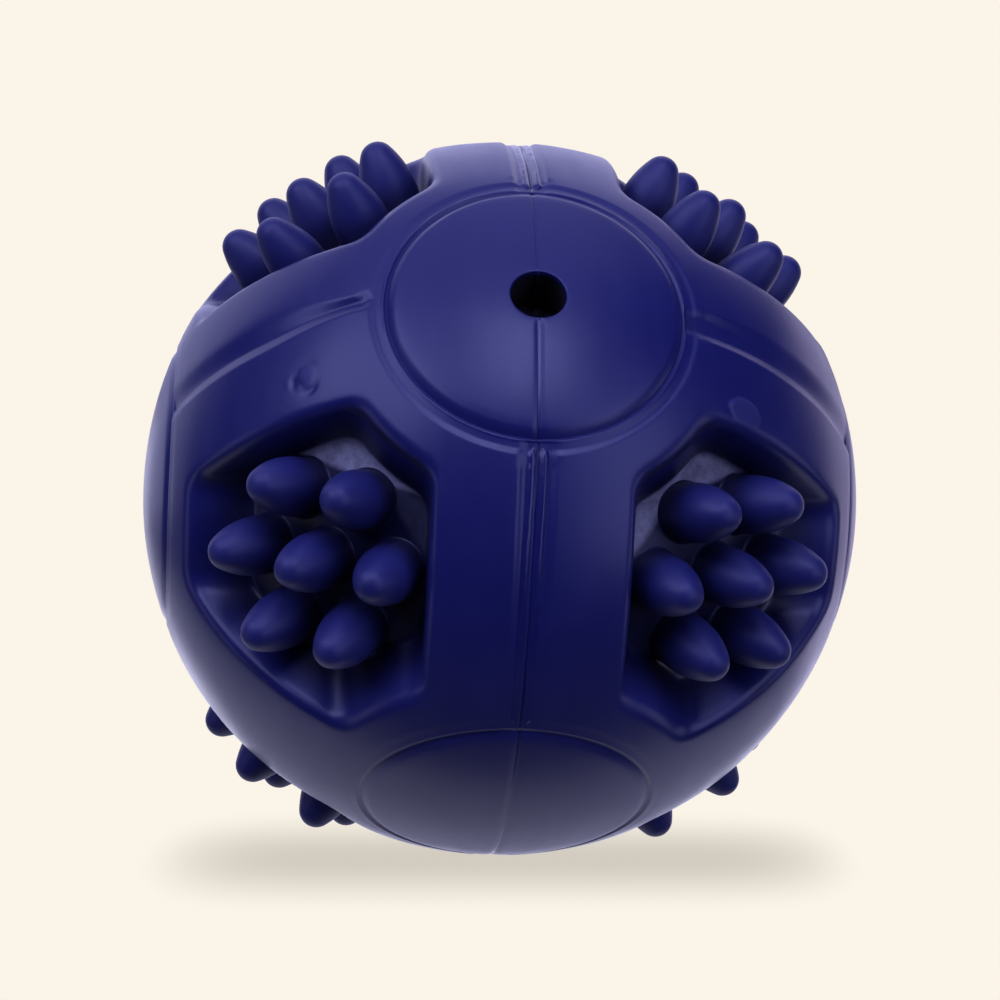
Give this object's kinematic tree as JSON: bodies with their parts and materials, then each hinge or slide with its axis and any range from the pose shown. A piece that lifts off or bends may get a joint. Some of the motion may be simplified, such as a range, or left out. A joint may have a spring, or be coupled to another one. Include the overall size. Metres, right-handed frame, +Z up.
{
  "type": "treat dispensing ball",
  "caption": "Hollow rubber treat ball for dogs: domed discs joined by grooved bands, pockets of blunt studs between them, and a small round hole that lets treats out.",
  "frame": {"origin": "centre of the ball", "axes": "X runs left to right, square to the seam between the halves; Y runs front to back; Z is up. The treat hole points forwards and up, halfway between -Y and +Z."},
  "size_m": [0.08, 0.0798, 0.0798],
  "materials": {
    "shell_rubber": "satin, as moulded",
    "bond_rubber": "matt, slightly ragged flash"
  },
  "bodies": {
    "root": {"left_half_shell": "shell_rubber", "right_half_shell": "shell_rubber", "seam_bond": "bond_rubber"}
  },
  "joints": []
}
